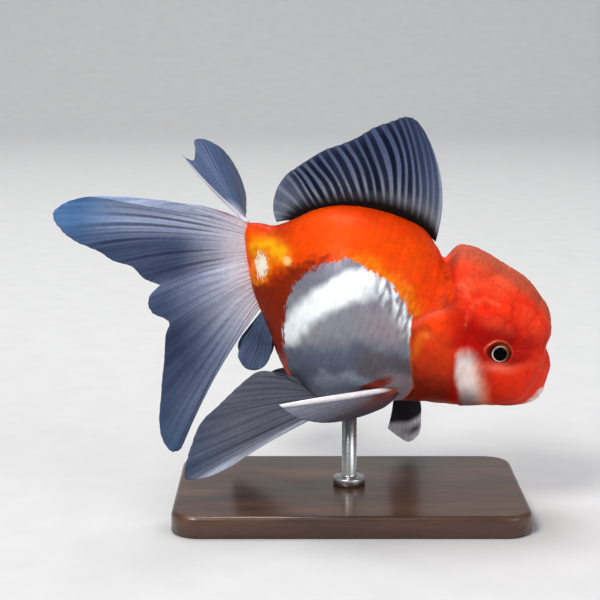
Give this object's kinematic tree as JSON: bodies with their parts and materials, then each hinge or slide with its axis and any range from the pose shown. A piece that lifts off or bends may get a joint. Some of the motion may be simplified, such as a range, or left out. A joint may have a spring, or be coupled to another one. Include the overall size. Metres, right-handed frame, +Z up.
{
  "type": "fancy goldfish",
  "caption": "Life-size red and white oranda goldfish, deep round body, swollen hood, tall dorsal fin and spread veil tail, swimming head down on a rod and flat base.",
  "frame": {"origin": "centre of the underside of the stand's base, on the surface that it stands on", "axes": "+X towards the fish's snout, +Y towards its left side, +Z up; the fish is pitched 20 degrees head down"},
  "size_m": [0.1553, 0.0951, 0.1263],
  "materials": {
    "skin": "cast resin painted as scaled skin, orange above, pearly white on the flank and belly, satin",
    "hood": "cast resin painted red, fine pebbled surface, slight wet sheen",
    "lips": "cast resin painted pinkish white, satin",
    "eyes": "black pupil in a thin silver-gold ring, polished",
    "fins": "thin tinted resin, pale rays on a blue-grey membrane, satin",
    "stand_wood": "dark walnut, oiled, satin",
    "stand_steel": "brushed"
  },
  "bodies": {
    "root": {"head": "skin", "hood": "hood", "gill_cover_right": "skin", "gill_cover_left": "skin", "cheek_right": "skin", "cheek_left": "skin", "upper_lip": "lips", "lower_lip": "lips", "eye_right": "eyes", "eye_left": "eyes", "trunk": "skin", "tail_stalk": "skin", "dorsal_fin": "fins", "tail_fin_right_upper": "fins", "tail_fin_right_lower": "fins", "tail_fin_left_upper": "fins", "tail_fin_left_lower": "fins", "anal_fin_right": "fins", "anal_fin_left": "fins", "pectoral_fin_right": "fins", "pectoral_fin_left": "fins", "pelvic_fin_right": "fins", "pelvic_fin_left": "fins", "stand_base": "stand_wood", "stand_rod": "stand_steel"}
  },
  "joints": []
}
